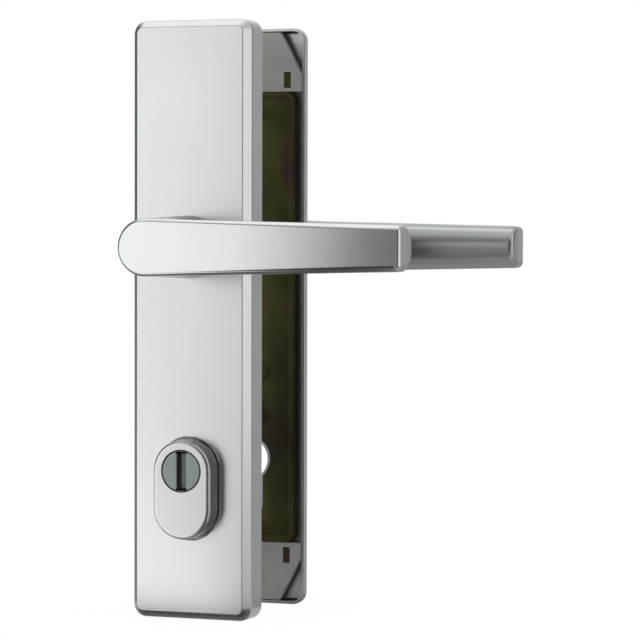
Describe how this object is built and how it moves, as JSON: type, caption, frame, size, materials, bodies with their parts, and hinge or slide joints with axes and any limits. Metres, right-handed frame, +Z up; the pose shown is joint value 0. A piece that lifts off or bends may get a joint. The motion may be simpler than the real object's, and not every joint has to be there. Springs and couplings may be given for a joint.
{
  "type": "security door handle set",
  "caption": "Security door handle set: two long backplates that clamp a door, joined levers on one square spindle, and a sliding guard with a turning disc over the lock cylinder.",
  "frame": {"origin": "where the spindle's axis meets the door's outside face, which is the outer plate's back plane", "axes": "+X along the levers towards their tips, +Y from outside to the room along the spindle, +Z up"},
  "size_m": [0.1347, 0.1648, 0.248],
  "materials": {
    "satin_aluminium": "satin anodised",
    "hardened_steel": "ground and zinc plated",
    "zinc_steel": "bright zinc plated",
    "spring_steel": "oiled spring steel",
    "passivated_steel": "pressed sheet, dark passivated zinc",
    "grey_plastic": "moulded, fine matt",
    "bearing_plastic": "moulded, plain",
    "black_steel": "black oxide",
    "nickel_steel": "matt nickel"
  },
  "bodies": {
    "root": {"outer_cover": "satin_aluminium", "outer_steel_plate": "hardened_steel", "fixing_posts": "zinc_steel", "stop_studs": "zinc_steel", "outer_bushing": "bearing_plastic", "return_spring": "spring_steel", "leaf_springs": "spring_steel", "inner_cover": "satin_aluminium", "inner_pan": "passivated_steel", "top_insert": "grey_plastic", "bottom_insert": "grey_plastic", "inner_bushing": "bearing_plastic", "fixing_screws": "zinc_steel"},
    "levers": {"outer_lever": "satin_aluminium", "inner_lever": "satin_aluminium", "spindle": "zinc_steel", "driver_plate": "zinc_steel", "retaining_ring": "spring_steel", "grub_screw": "black_steel"},
    "guard": {"cylinder_cover": "satin_aluminium", "cover_guard_plate": "hardened_steel"},
    "rotor": {"rotor_disc": "nickel_steel"}
  },
  "joints": [
    {"name": "lever_turn", "type": "hinge", "parent": "root", "child": "levers", "pos_m": [0, 0, 0], "axis": [0, 1, 0], "range_deg": [0, 40], "stiffness_Nm_per_rad": 1, "springref_deg": -45.84, "deforming": ["return_spring"]},
    {"name": "cover_slide", "type": "slide", "parent": "root", "child": "guard", "axis": [0, 1, 0], "range_m": [0, 0.006], "stiffness_N_per_m": 700, "springref_m": -0.0035, "deforming": ["leaf_springs"]},
    {"name": "rotor_turn", "type": "hinge", "parent": "guard", "child": "rotor", "pos_m": [0, -0.0207, -0.092], "axis": [0, 1, 0], "continuous": true}
  ]
}
